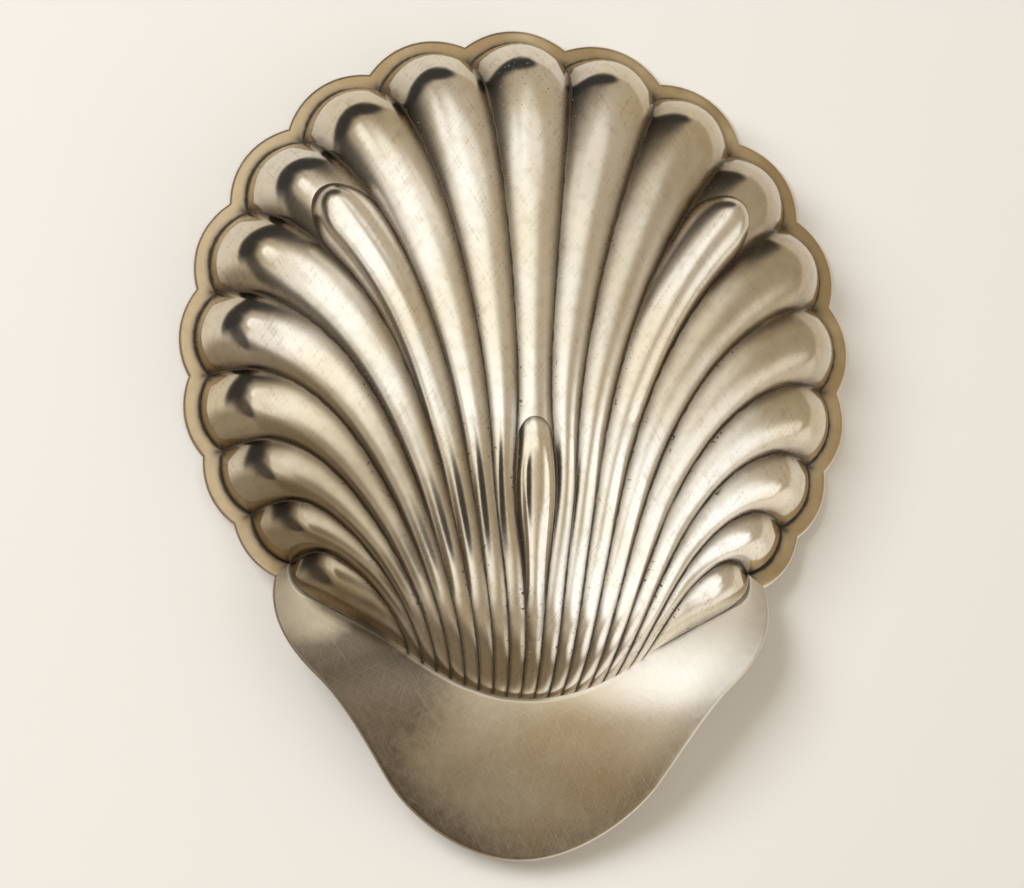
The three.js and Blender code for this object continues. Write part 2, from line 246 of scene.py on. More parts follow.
# %% [markdown]
# ## From arrays to meshes
# A grid of points becomes four-cornered faces by counting along its columns and rows. Two grids, one for
# each face of a sheet, are joined round their edge into a closed body. Blender could thicken one grid with
# Solidify, but here the inner face has to stay level along the rim, where the border meets it.


# %% Grids and pieces
def grid_quads(index, flip=False):
    """Faces of a grid of vertex numbers, facing the way that columns turn to rows."""
    corners = [index[:-1, :-1], index[1:, :-1], index[1:, 1:], index[:-1, 1:]]
    quads = np.stack(corners[::-1] if flip else corners, -1)
    return quads.reshape(-1, 4)


def closed_sheet(outer, inner):
    """Points and faces of the body between two grids of the same shape."""
    columns, rows = outer.shape[:2]
    index = np.arange(columns * rows).reshape(columns, rows)
    ring = np.concatenate([index[:-1, 0], index[-1, :-1], index[:0:-1, -1], index[0, :0:-1]])
    ahead = np.roll(ring, -1)
    sides = np.stack([ahead, ring, ring + index.size, ahead + index.size], -1)
    quads = np.concatenate([grid_quads(index), grid_quads(index + index.size, flip=True), sides])
    return np.concatenate([outer.reshape(-1, 3), inner.reshape(-1, 3)]), quads.tolist()


def on_both(values):
    """Marks for a closed sheet whose two faces have the same ones."""
    return np.stack([values, values])


def normals_of(grid):
    """Unit normals of a grid, from the cross product of its differences along rows and columns."""
    normal = np.cross(np.gradient(grid, axis=0), np.gradient(grid, axis=1))
    return normal / np.maximum(np.linalg.norm(normal, axis=-1, keepdims=True), 1e-12)


def crowded(count):
    """Numbers from 0 to 1, crowded towards both ends as a cosine is."""
    return (1 - np.cos(np.linspace(0, np.pi, count + 1))) / 2


def new_piece(name, node, slot, points, faces, sharp, **marks):
    """A mesh that stands for a packed node, with edges past a sharp angle in degrees left sharp. Marks are
    numbers per vertex that its finish reads."""
    mesh = bpy.data.meshes.new(name)
    mesh.from_pydata(((points + RIM_CENTRE) / MM_IN_M).tolist(), [], faces)
    mesh.polygons.foreach_set("use_smooth", np.ones(len(faces), bool))
    mesh.set_sharp_from_angle(angle=np.radians(sharp))
    for mark, values in marks.items():
        layer = mesh.attributes.new(mark, "FLOAT", "POINT")
        layer.data.foreach_set("value", np.ravel(values).astype(np.float32))
    piece = bpy.data.objects.new(name, mesh)
    bpy.context.scene.collection.objects.link(piece)
    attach(piece, "root")
    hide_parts(node)
    print(name, len(points), "points", len(faces), "faces")
    return piece


print("a grid of 3 by 3 points has", len(grid_quads(np.arange(9).reshape(3, 3))), "faces")

# %% [markdown]
# ## The bowl
# On the real dish it is one sheet, pressed over a fluted die. A sculpted mesh would do, but the formulas
# give every flute at once. Columns are crowded towards the creases and rows towards both walls. Each
# vertex also keeps how far it is from a crease or the rim and how much tarnish film and painted shade it
# has, because film and dirt gather there and painted shade darkens them.

# %% Bowl
COLUMNS_PER_FLUTE = 18
BOWL_ROWS = 130
BOWL_SHARP = 80  # degrees
SHADE_FILM_SHARE = 0.3  # how far the tarnish film and painted shade reach from a crease, of the flute's width
RIM_SHADE_FILM = 0.9  # how far they reach from the rim
RIM_STEEPNESS = 2.5  # the wall at the rim is upright, so its distances in plan count for more


def eased(share):
    """0 below 0 and 1 above 1, with a smooth step between."""
    share = np.clip(share, 0, 1)
    return share**2 * (3 - 2 * share)


fractions = np.arange(-FLUTES_EACH_SIDE, FLUTES_EACH_SIDE + 1)[:, None] + crowded(COLUMNS_PER_FLUTE) - 0.5
flute = np.append(fractions[:, :-1].ravel(), EDGE_CREASE)[::-1, None]
share = crowded(BOWL_ROWS)[None, :]
outside = points_at(plan(flute, share), bowl_depth(flute, share))
inward = -normals_of(outside)
rim_edge = np.zeros(inward.shape[:2], bool)
rim_edge[[0, -1], :] = True
rim_edge[:, [0, -1]] = True
inward[rim_edge, 2] = 0
inward /= np.maximum(np.linalg.norm(inward, axis=-1, keepdims=True), 1e-9)
inside = outside + SHEET * inward

crease_share = 0.5 - np.abs(flute - crest_of(flute))
rim_mm = distance(plan(flute, share), plan(flute, 1))
seam_mm = np.minimum(crease_share * flute_width(flute, share), RIM_STEEPNESS * rim_mm)
# tarnish film with painted shade, strongest at the creases and the rim
film = np.maximum(eased(1 - crease_share / SHADE_FILM_SHARE), eased(1 - rim_mm / RIM_SHADE_FILM))
hollow = np.stack([np.zeros_like(rim_mm), np.ones_like(rim_mm)])
bowl = new_piece(
    "bowl", "shell_bowl", "bowl_plate", *closed_sheet(outside, inside), BOWL_SHARP,
    seam_mm=on_both(seam_mm), film=on_both(film), rim_mm=on_both(rim_mm), hollow=hollow,
)

# %% [markdown]
# ## Flat plates round the bowl
# Border and apron are plates cut to an outline and soldered round the bowl. A plate is carried along two
# lines, the one against the bowl and the free one outside, as a closed profile: across the under face,
# round the free edge and back across the upper face. Bevelling a flat solid would do the same, but the
# profile keeps the rows across the plate, which the apron's bend needs.

# %% Plates between two lines
PLATE_ROWS = 24
PLATE_SHARP = 60  # degrees
ROUND = np.linspace(0, np.pi, 13)  # angles round the free edge


def plate_between(near, far):
    """Profile between two lines in plan: under face, half-round free edge, upper face, all of it following
    the edge line. Returns points, faces and each point's distances from the near and the far line."""
    width = distance(near, far)[:, None]
    back = (near - far) / width
    half = PLATE / 2
    face = np.linspace(1, 0, PLATE_ROWS + 1)[None, :-1] * (width - half) + half
    rounded = half - half * np.sin(ROUND) * np.ones_like(width)
    from_free = np.concatenate([face, rounded, face[:, ::-1]], 1)
    lower = np.concatenate([np.full(PLATE_ROWS, PLATE), half + half * np.cos(ROUND), np.zeros(PLATE_ROWS)])
    place = far[:, None] + back[:, None] * from_free[..., None]
    points = points_at(place, edge_depth(place[..., 1]) + lower)
    columns, around = points.shape[:2]
    index = np.arange(columns * around).reshape(columns, around)
    quads = grid_quads(np.concatenate([index, index[:, :1]], 1)).tolist()
    caps = [index[0].tolist(), index[-1, ::-1].tolist()]
    return points.reshape(-1, 3), quads + caps, width - from_free, from_free


print("a plate's profile has", 2 * PLATE_ROWS + len(ROUND), "points")

# %% [markdown]
# ## Border
# The border is the narrow band round the seventeen lobes. Its inner line is the bowl's own edge, so the two
# can't part. An offset of that edge would give the outer line too, but the real band is wider at the cusps
# than on the lobes. Each vertex keeps how near it is to a cusp, where polish doesn't reach.

# %% Border
SOLDER_LAP = 0.1  # how far the border laps into its seam
CUSP_TIGHTNESS = 6  # power that keeps a cusp's mark close to it

rim_flutes = np.append(fractions[1:-1, :-1].ravel(), LAST_CREASE)[::-1]
outward = heading(rim_angle(rim_flutes))
rim_near = plan(rim_flutes, 1.0) - SOLDER_LAP * outward
rim_far = outward * (RIM_RADIUS + LOBE_RISE * rim_lobe(rim_flutes))[:, None]
points, faces, seam_mm, free_mm = plate_between(rim_near, rim_far)
cusp_here = np.repeat(1 - lobe(rim_flutes), len(points) // len(rim_flutes)) ** CUSP_TIGHTNESS
border = new_piece(
    "border", "rim_border", "border_plate", points, faces, PLATE_SHARP,
    seam_mm=seam_mm, free_mm=free_mm, cusp=cusp_here,
)

# %% [markdown]
# ## Apron
# The apron is the thumb rest: a plain plate that sweeps down with the edge line at the hinge. Its outline
# is three curves from the last cusp to the tip, mirrored. It could be traced point by point, but curves
# stay smooth however close the camera is. The two lines are matched by their shares of length.

# %% Apron
APRON_LAP = 0.35  # how far the apron laps into its seam
APRON_CORNER_SWELL = np.array([42.6, -42])
APRON_CORNER_TURN = np.array([41, -47.6])
APRON_SIDE = np.array([35, -53.5])
APRON_NECK = np.array([22.9, -70])
APRON_SIDE_RUN = heading(np.radians(226))
APRON_NECK_RUN = heading(np.radians(214))
APRON_SIDE_HANDLE = 6.0
APRON_NECK_HANDLE = 7.0
APRON_TIP_HANDLE = 9.5
APRON_COLUMNS = 150  # in each half
OUTLINE_STEPS = np.linspace(0, 1, 200)[:, None]


def at_lengths(line, shares):
    """Points of a line at shares of its length."""
    lengths = np.append(0, np.cumsum(distance(line[1:], line[:-1])))
    return np.stack([np.interp(shares * lengths[-1], lengths, line[:, k]) for k in (0, 1)], -1)


cusp = heading(rim_angle(LAST_CREASE)) * RIM_RADIUS
tip = np.array([0, -APRON_TIP_REACH])
side_handle = APRON_SIDE + APRON_SIDE_RUN * APRON_SIDE_HANDLE
neck_handle = APRON_NECK_RUN * APRON_NECK_HANDLE
free_line = np.concatenate([
    cubic_at(OUTLINE_STEPS, cusp, APRON_CORNER_SWELL, APRON_CORNER_TURN, APRON_SIDE),
    cubic_at(OUTLINE_STEPS, APRON_SIDE, side_handle, APRON_NECK - neck_handle, APRON_NECK),
    cubic_at(OUTLINE_STEPS, APRON_NECK, APRON_NECK + neck_handle, tip + [APRON_TIP_HANDLE, 0], tip),
])
solder_line = np.concatenate([
    plan(np.linspace(LAST_CREASE, EDGE_CREASE, 40), 1.0),
    plan(EDGE_CREASE, np.linspace(1, 0, 160)),
    plan(np.linspace(EDGE_CREASE, 0, 240), 0.0),
])
shares = np.linspace(0, 1, APRON_COLUMNS)
near, far = at_lengths(solder_line, shares), at_lengths(free_line, shares)
near = near + APRON_LAP * (near - far) / distance(near, far)[:, None]
mirror = np.array([-1, 1])
near = np.concatenate([near * mirror, near[-2::-1]])
far = np.concatenate([far * mirror, far[-2::-1]])
points, faces, seam_mm, free_mm = plate_between(near, far)
apron = new_piece(
    "apron", "hinge_apron", "apron_plate", points, faces, PLATE_SHARP, seam_mm=seam_mm, free_mm=free_mm
)

# %% [markdown]
# ## Feet
# Each foot lies along one flute, rises from a slim tail to a round toe and is worn flat where it stands.
# Its seat is the bowl's own surface, so it is the same grid with a rise added. The wear could be cut with
# a boolean; a soft limit on the depth gives the flat its slightly rounded edge at once.

# %% Feet
FOOT_COLUMNS = 48
FOOT_ROWS = 120
FOOT_SHARP = 70  # degrees
FOOT_LIP = 0.02  # how far a foot's edge sinks into the solder
SEAT_SINK = 0.3  # how far its hidden seat lies inside the bowl's metal
FOOT_WEAR = 0.03  # worn off the crest
WEAR_SOFTNESS = 0.08
EVEN_ARC = 2  # squareness of an even arc; more is squarer
FOOT_SQUARENESS = 5  # outer half of a side foot at its toe
FOOT_SHADE_FILM = 1.6  # how far the tarnish film and painted shade reach in from a foot's edge
SIDE_FOOT_FLUTE = 3
SIDE_FOOT = {"toe": 0.895, "tail": 0.42, "toe_run": 6.5, "tail_run": 42.0, "toe_squareness": 5}
HINGE_FOOT = {"toe": 0.395, "tail": 0.06, "toe_run": 9.0, "tail_run": 26.0, "toe_squareness": EVEN_ARC}


def arch(away, squareness):
    """Falls from 1 at the middle to 0 at the edge, which is 1 away: 1 less a power of the distance."""
    return 1 - np.abs(away) ** squareness


def foot_grids(crest, toe, tail, toe_run, tail_run, toe_squareness):
    """Outer face, hidden seat and distances from the edge. The rise is the product of a toe, a tail and a
    round across the foot, and the depth is limited softly at the table."""
    across = (2 * crowded(FOOT_COLUMNS) - 1)[::-1, None]
    length = distance(plan(crest, toe), plan(crest, tail))
    half_width = distance(plan(crest - 0.5, toe), plan(crest + 0.5, toe)) / 2
    reach = 1 - half_width * (1 - np.sqrt(np.clip(1 - across**2, 0, 1))) / length
    along = crowded(FOOT_ROWS)[None, :] * reach
    s, t = crest + across / 2, tail + (toe - tail) * along
    seat = bowl_depth(s, t) - FOOT_LIP
    lift = np.clip(STAND_DEPTH + FOOT_WEAR - bowl_depth(crest, t), 0, None)
    tail_ramp = eased(along * length / tail_run)
    toe_arch = arch(1 - np.clip((reach - along) * length / toe_run, 0, 1), toe_squareness)
    outer_half = across * np.sign(crest) > 0
    crown = arch(across, EVEN_ARC + (FOOT_SQUARENESS - EVEN_ARC) * along**2 * outer_half)
    depth = seat + lift * toe_arch * tail_ramp * crown
    depth = STAND_DEPTH - WEAR_SOFTNESS * np.logaddexp(0, (STAND_DEPTH - depth) / WEAR_SOFTNESS)
    place = plan(s, t)
    edge_mm = np.minimum((1 - np.abs(across)) / 2 * flute_width(s, t), (reach - along) * length)
    return points_at(place, depth), points_at(place, seat - SEAT_SINK), edge_mm


feet = []
for name, node, crest, form in [
    ("foot_right", "right_foot", SIDE_FOOT_FLUTE, SIDE_FOOT),
    ("foot_left", "left_foot", -SIDE_FOOT_FLUTE, SIDE_FOOT),
    ("foot_hinge", "hinge_foot", 0, HINGE_FOOT),
]:
    outer, seat, edge_mm = foot_grids(crest, **form)
    feet.append(new_piece(
        name, node, "foot_plate", *closed_sheet(outer, seat), FOOT_SHARP,
        seam_mm=on_both(edge_mm), film=on_both(eased(1 - edge_mm / FOOT_SHADE_FILM)),
    ))
    print("  stands at depth", (-outer[..., 2]).max().round(3), "of", STAND_DEPTH)

# %% [markdown]
# ## Shader maths in plain arithmetic
# A finish is a set of masks: where dirt lies, where the plate is worn. Wiring Math nodes by hand hides the
# arithmetic, so a small class wraps a node's output and lets Python's own operators add the nodes.


# %% Sockets with operators
class Amount:
    """A node's output whose arithmetic adds Math nodes to the same tree."""

    def __init__(self, finish, socket):
        self.finish, self.socket = finish, socket

    def math(self, operation, *values):
        """A Math node of these values."""
        return self.finish.node("ShaderNodeMath", {"operation": operation}, dict(enumerate(values)))

    def __add__(self, other):
        """Sum of the two."""
        return self.math("ADD", self, other)

    def __sub__(self, other):
        """This less the other."""
        return self.math("SUBTRACT", self, other)

    def __rsub__(self, other):
        """The other less this."""
        return self.math("SUBTRACT", other, self)

    def __mul__(self, other):
        """Product of the two."""
        return self.math("MULTIPLY", self, other)

    __radd__, __rmul__ = __add__, __mul__

    def larger(self, other):
        """The larger of the two at each point."""
        return self.math("MAXIMUM", self, other)

    def step(self, start, end):
        """0 at start and 1 at end, eased between."""
        sockets = {"Value": self, "From Min": start, "From Max": end}
        return self.finish.node("ShaderNodeMapRange", {"interpolation_type": "SMOOTHSTEP"}, sockets)


def largest(amounts):
    """The largest of several amounts at each point."""
    first, *others = amounts
    for other in others:
        first = first.larger(other)
    return first


print("operators ready:", [name for name in vars(Amount) if name.startswith("__r")])

# %% [markdown]
# ## A node tree that is written, not drawn
# Every finish needs the same few nodes: noise, scratches, marks, blends of two colours. One method adds any
# node, and short methods on top of it name what the node is for. Node groups could hold them as well, but
# a script that reads from top to bottom is easier to change.


# %% Finishes
class Finish:
    """A node tree being built: one method adds any node, sets it up and links it."""

    def __init__(self, tree):
        self.tree = tree
        tree.nodes.clear()

    def node(self, kind, settings, sockets, output=0):
        """Adds a node, sets its properties, fills or links its sockets and gives one output."""
        made = self.tree.nodes.new(kind)
        for name, value in settings.items():
            setattr(made, name, value)
        for name, value in sockets.items():
            if isinstance(value, Amount):
                self.tree.links.new(value.socket, made.inputs[name])
            else:
                made.inputs[name].default_value = value
        return Amount(self, made.outputs[output]) if len(made.outputs) else made

    def mark(self, name):
        """Numbers that a piece keeps on its vertices."""
        return self.node("ShaderNodeAttribute", {"attribute_name": name}, {}, "Fac")

    def axis(self, vector, name):
        """One coordinate of a vector."""
        return self.node("ShaderNodeSeparateXYZ", {}, {0: vector}, name)

    def noise(self, vector, scale, detail):
        """Noise about 0.5; the scale is in features per metre."""
        sockets = {"Vector": vector, "Scale": scale, "Detail": detail}
        return self.node("ShaderNodeTexNoise", {}, sockets, "Fac")

    def scratches(self, vector, counts, turn):
        """Noise drawn out into lines, from features per metre along each axis and a turn about Z."""
        drawn = {"Vector": vector, "Rotation": (0, 0, turn), "Scale": tuple(1 / count for count in counts)}
        return self.noise(self.node("ShaderNodeMapping", {"vector_type": "TEXTURE"}, drawn), 1, 2)

    def blend(self, factor, a, b):
        """Colour a where the factor is 0 and b where it is 1."""
        return self.node("ShaderNodeMix", {"data_type": "RGBA"}, {0: factor, 6: a, 7: b}, 2)

    def near(self, place, spot, full, none):
        """1 within `full` of a spot, eased to 0 at `none` from it."""
        away = self.node("ShaderNodeVectorMath", {"operation": "DISTANCE"}, {0: place, 1: spot}, "Value")
        return away.step(none, full)

    def bump(self, height, depth):
        """Normals of a relief whose heights from 0 to 1 span a depth in metres."""
        return self.node("ShaderNodeBump", {}, {"Height": height, "Distance": depth})


def new_finish(name):
    """A material, its tree and the place of each point in its piece's own coordinates."""
    material = bpy.data.materials.new(name)
    material.use_nodes = True
    finish = Finish(material.node_tree)
    return material, finish, finish.node("ShaderNodeTexCoord", {}, {}, "Object")


def metal(finish, color, roughness, metallic, normal):
    """One principled surface of these four amounts, joined to the output."""
    sockets = {"Base Color": color, "Roughness": roughness, "Metallic": metallic, "Normal": normal}
    surface = finish.node("ShaderNodeBsdfPrincipled", {}, sockets)
    finish.node("ShaderNodeOutputMaterial", {}, {"Surface": surface})


print("finish helpers ready:", [name for name in vars(Finish) if not name.startswith("_")])

# %% [markdown]
# ## Old silver plate
# The bowl is polished silver that has yellowed unevenly. Polish never reaches the creases, so they keep a
# brown film with black specks in it, and painted shade darkens the plate towards each crease and the rim.
# Round patches of painted shade dim it where less light falls. Colour could be painted on vertices, but
# masks made from noise and from the distance to a crease stay sharp at any size. The plate is metal
# everywhere except where dirt lies on it.

# %% Old silver
SILVER = (0.86, 0.82, 0.75, 1)
YELLOWED = (0.76, 0.675, 0.52, 1)
# dull clouded silver, also the colour of the round patches of painted shade
CLOUDED_AND_SHADE = (0.42, 0.34, 0.23, 1)
# tarnish film, also the colour of painted shade in the creases and at the rim
TARNISH_AND_SHADE = (0.14, 0.1, 0.06, 1)
DIRT = (0.035, 0.027, 0.018, 1)
HAIRLINES = (2500, 140, 140)  # features per metre along each axis
SHADE_PATCHES = [  # patches of painted shade: centre, radius of the full shade, radius where it ends, strength; in metres
    ((-0.034, 0.027, 0.006), 0.010, 0.042, 0.62),  # wide, on one side of the fan
    ((0.012, -0.020, 0.003), 0.010, 0.025, 0.36),  # beside the hinge foot
    ((0.033, -0.018, 0.007), 0.009, 0.025, 0.75),  # by a corner of the apron
]


def shade_patches_at(f, place):
    """The strongest of the round patches of painted shade at each point."""
    return largest([f.near(place, *spot) * strength for *spot, strength in SHADE_PATCHES])


def old_silver(f, place, fullness, painted_shade):
    """Colour, roughness, metallic and relief of old plate: blends of noise with the piece's own marks, which
    say how far a seam is and how much tarnish film and painted shade there is. Fullness is the share of
    dirt, film and painted shade, and the last argument says where round patches of painted shade dim the
    plate."""
    from_seam, film = f.mark("seam_mm"), f.mark("film")
    cloud = f.noise(place, 45, 4)
    fine = f.noise(place, 480, 4)
    patchy = f.noise(place, 120, 3)
    ragged = from_seam + (fine - 0.5) * 0.5
    # painted shade: darker within 2.8 mm of a crease or the rim
    crease_shade = (1 - from_seam.step(0.0, 2.8)) * (0.55 + patchy * 0.6)
    tarnish_and_shade = film * crease_shade.larger(0.25 + patchy * 0.3) * fullness
    line = (1 - ragged.step(0.04, 0.26)) * patchy.step(0.2, 0.42)
    speck = f.noise(place, 1500, 2).step(0.62, 0.68) * (1 - ragged.step(0.2, 1.3)) * patchy.step(0.46, 0.58)
    dirt = line.larger(speck) * fullness
    hairline = f.scratches(place, HAIRLINES, 0.6) + f.scratches(place, HAIRLINES, -0.5)
    tone = f.blend(cloud.step(0.34, 0.7), SILVER, YELLOWED)
    # painted shade: the round patches darken the plate
    tone = f.blend(painted_shade * (0.75 + fine * 0.4), tone, CLOUDED_AND_SHADE)
    tone = f.blend(fine.step(0.45, 0.8) * 0.25, tone, CLOUDED_AND_SHADE)
    tone = f.blend(hairline.step(1.08, 1.3) * 0.3, tone, CLOUDED_AND_SHADE)
    # tarnish film with painted shade in the creases and at the rim
    tone = f.blend(tarnish_and_shade, tone, TARNISH_AND_SHADE)
    roughness = cloud * 0.08 + fine * 0.06 + painted_shade * 0.05 + dirt * 0.3
    relief = f.bump(f.noise(place, 170, 1) + hairline * 0.08 + fine * 0.08, 0.00004)
    return f.blend(dirt, tone, DIRT), roughness, 1 - dirt, relief


# counts the round patches of painted shade
print("clouded places:", len(SHADE_PATCHES))

# %% [markdown]
# ## Finish of the bowl and the feet
# The bowl is brightest at the rim and the hinge, where a cloth runs along it, and satin between. Its hollow
# has less dirt, tarnish film and painted shade than its underside, and only the underside has the round
# patches of painted shade. A few pits lie at the end of the middle flute. The feet have the same plate, with
# a third of those patches. One material for all would be shorter, but only the bowl has the marks for rim
# and hollow.

# %% Bowl and feet finish
PITS = ((0, 0.057, 0.009), 0.003, 0.009)  # centre, radius full of pits, radius where they end; in metres

bowl_plate, f, place = new_finish("bowl_plate")
underside, rim_mm = 1 - f.mark("hollow"), f.mark("rim_mm")
# round patches of painted shade, on the underside only
color, roughness, metallic, relief = old_silver(
    f, place, 1 - f.mark("hollow") * 0.6, shade_patches_at(f, place) * underside
)
pit = f.noise(place, 1900, 1).step(0.68, 0.72) * f.near(place, *PITS)
dulled = rim_mm.step(2, 13) * (1 - rim_mm.step(40, 72))
metal(f, f.blend(pit, color, DIRT), roughness + 0.04 + dulled * 0.16, metallic * (1 - pit), relief)
bowl.data.materials.append(bowl_plate)

foot_plate, f, place = new_finish("foot_plate")
# the feet take a third of the painted shade patches
color, roughness, metallic, relief = old_silver(f, place, 1, shade_patches_at(f, place) * 0.3)
satin = f.axis(place, "Y").step(-0.01, 0.015)
metal(f, color, roughness + 0.05 + satin * 0.13, metallic, relief)
for foot in feet:
    foot.data.materials.append(foot_plate)
print("bowl and", len(feet), "feet finished")

# %% [markdown]
# ## Worn border
# The border is handled and cleaned most, so its silver has worn to the brass, with dirt packed into the
# solder line and the cusps. Its free edge is worn bright and carries a painted highlight, a brown stain with
# painted shade runs along the seam beside the bowl, and painted light makes its +X side paler. A ramp across
# the plate could colour it, but dirt has a ragged edge, so the distance to the seam is roughened by noise
# first.

# %% Border finish
BRASS = (0.41, 0.3, 0.165, 1)
# worn plate, also the paler colour of painted light on the border
WORN_AND_LIT = (0.58, 0.46, 0.3, 1)
BRIGHT = (0.86, 0.81, 0.72, 1)
# brown patina, also the colour of painted shade on the border and the apron
PATINA_AND_SHADE = (0.22, 0.18, 0.13, 1)

border_plate, f, place = new_finish("border_plate")
cloud = f.noise(place, 110, 4)
fine = f.noise(place, 700, 3)
ragged = f.mark("seam_mm") + (fine - 0.5) * 0.5
solder = (1 - ragged.step(0.15, 0.6)) * cloud.step(0.15, 0.4)
# patina along the seam, with painted shade in the groove beside the bowl
seam_stain_and_shade = (1 - ragged.step(0.1, 1.3)) * (0.5 + cloud * 0.6)
cusp_stain = f.mark("cusp") * (1 - ragged.step(0.6, 2.6))
cusp_dirt = f.mark("cusp") * (1 - ragged.step(0.5, 1.7)) * 0.85
# free edge worn bright, with a painted highlight
edge_polish_and_highlight = 1 - f.mark("free_mm").step(0.1, 0.45)
# painted light: the border is paler towards +X
painted_light_side = f.axis(place, "X").step(0.02, 0.05) * 0.95
tone = f.blend(cloud.step(0.42, 0.75).larger(painted_light_side), BRASS, WORN_AND_LIT)
tone = f.blend(seam_stain_and_shade.larger(cusp_stain), tone, PATINA_AND_SHADE)
tone = f.blend(edge_polish_and_highlight * 0.8, tone, BRIGHT)
dirt = solder.larger(cusp_dirt)
metal(f, f.blend(dirt, tone, DIRT), 0.28 + fine * 0.2, 1 - dirt, f.bump(fine, 0.00003))
border.data.materials.append(border_plate)
print("border finished")

# %% [markdown]
# ## Scratched apron
# The apron is dull from fine scratches in every direction and has brown patina along its free edge, which
# is worn bright with a painted highlight. Painted shade darkens its +X side, except at one corner, and one
# spot; it is darker towards the tip, and painted highlights brighten a spot on its -X side and a line along
# its seam. Scratches could be drawn one by one, but noise drawn out along five directions gives thousands of
# them.

# %% Apron finish
FINE_SCRATCHES = (6000, 160, 160)  # features per metre along each axis
SCRATCH_TURNS = (0.3, -0.5, 1.1, 2.0, 2.6)
# a spot of painted shade, a corner kept clear of it, and a spot of painted highlight
SHADE_SPOT = ((0.026, -0.04, 0.012), 0.004, 0.02)  # centre, radius of full effect, radius where it ends
UNSHADED_CORNER = ((0.036, -0.028, 0.012), 0.004, 0.012)
HIGHLIGHT_SPOT = ((-0.03, -0.034, 0.012), 0.006, 0.030)

apron_plate, f, place = new_finish("apron_plate")
cloud = f.noise(place, 40, 4)
fine = f.noise(place, 600, 3)
scratch = largest([f.scratches(place, FINE_SCRATCHES, turn) for turn in SCRATCH_TURNS]).step(0.55, 0.72)
ragged = f.mark("seam_mm") + (fine - 0.5) * 0.25
solder = (1 - ragged.step(0.35, 0.5)) * cloud.step(0.42, 0.6) * 0.7
# painted highlight along the edge at the seam
seam_highlight = (1 - ragged.step(0.6, 0.95)) * 0.5
# free edge worn bright, with a painted highlight
edge_polish_and_highlight = (1 - f.mark("free_mm").step(0.15, 0.5)) * 0.7
# painted shade: darker towards +X
apron_patina_and_shade = f.axis(place, "X").step(-0.02, 0.035) * 0.55
# darker towards the tip
apron_patina_and_shade = apron_patina_and_shade + (f.axis(place, "Y") * -1).step(0.048, 0.07) * 0.25
# a spot of painted shade
apron_patina_and_shade = apron_patina_and_shade + f.near(place, *SHADE_SPOT) * 0.8
# one corner kept clear of the painted shade
apron_patina_and_shade = apron_patina_and_shade * (1 - f.near(place, *UNSHADED_CORNER) * 0.8)
# brown patina along the free edge
apron_patina_and_shade = apron_patina_and_shade + (1 - f.mark("free_mm").step(0.5, 8)) * 0.4
apron_patina_and_shade = apron_patina_and_shade * (0.45 + cloud * 0.5 + fine * 0.6)
tone = f.blend(cloud.step(0.35, 0.7), WORN_AND_LIT, YELLOWED)
# a spot of painted highlight
tone = f.blend(f.near(place, *HIGHLIGHT_SPOT), tone, BRIGHT)
tone = f.blend(apron_patina_and_shade, tone, PATINA_AND_SHADE)
tone = f.blend(scratch * 0.12, tone, BRIGHT)
# painted highlight at the seam and the bright free edge
tone = f.blend(seam_highlight.larger(edge_polish_and_highlight), tone, BRIGHT)
relief = f.bump(scratch * 0.3 + fine * 0.3, 0.00002)
metal(f, f.blend(solder, tone, DIRT), 0.27 + cloud * 0.1 + scratch * 0.08, 1 - solder, relief)
apron.data.materials.append(apron_plate)
print("apron finished")

# %% [markdown]
# ## Paper and table
# The photograph shows the dish face down on pale paper, and here it stands on its feet, so the camera looks
# up at paper that lies on the rim. Seen from above, the dish stands on a table instead. One box round the
# dish would do for both, but it would shut the light out. So both sheets are seen from one side only and
# only by the camera.

# %% Stage
PAPER = (0.92, 0.925, 0.93, 1)
TABLE = (0.8, 0.8, 0.795, 1)
STAGE_HALF = 3.0  # metres


def flat_sheet(name, half, height, faces_up=True):
    """A level square round the origin that throws no shadow and isn't part of the dish."""
    mesh = bpy.data.meshes.new(name)
    corners = [(-half, -half, height), (half, -half, height), (half, half, height), (-half, half, height)]
    mesh.from_pydata(corners, [], [(0, 1, 2, 3) if faces_up else (3, 2, 1, 0)])
    sheet = bpy.data.objects.new(name, mesh)
    bpy.context.scene.collection.objects.link(sheet)
    sheet.visible_diffuse = sheet.visible_transmission = sheet.visible_shadow = False
    return sheet


def stage_sheet(name, height, color, faces_up):
    """A matt sheet whose back is clear, so that it shows only from the side that it faces."""
    sheet = flat_sheet(name, STAGE_HALF, height, faces_up)
    sheet.visible_glossy = False
    material, f, _ = new_finish(name)
    matt = f.node("ShaderNodeBsdfDiffuse", {}, {"Color": color})
    clear = f.node("ShaderNodeBsdfTransparent", {}, {})
    behind = f.node("ShaderNodeNewGeometry", {}, {}, "Backfacing")
    one_sided = f.node("ShaderNodeMixShader", {}, {0: behind, 1: matt, 2: clear})
    f.node("ShaderNodeOutputMaterial", {}, {"Surface": one_sided})
    sheet.data.materials.append(material)


rim_height, table_height = RIM_CENTRE[2] / MM_IN_M, 0.0
stage_sheet("paper", rim_height, PAPER, faces_up=False)
stage_sheet("table", table_height, TABLE, faces_up=True)
print("paper at", rim_height, "table at", table_height)

# %% [markdown]
# ## Room
# Polished metal shows the room, so the room is most of its look. It is warm and dim, paler above the rim,
# with a window and a curtain on one side and dark corners that give the flutes their crescents. A picture
# of a room could light the dish, but a few soft round panels are enough and read no file. Directions are
# given as the photograph shows them: an angle from its right-hand side towards its top, and a height, with
# -90 straight at the camera. The camera itself sees a plain wall.

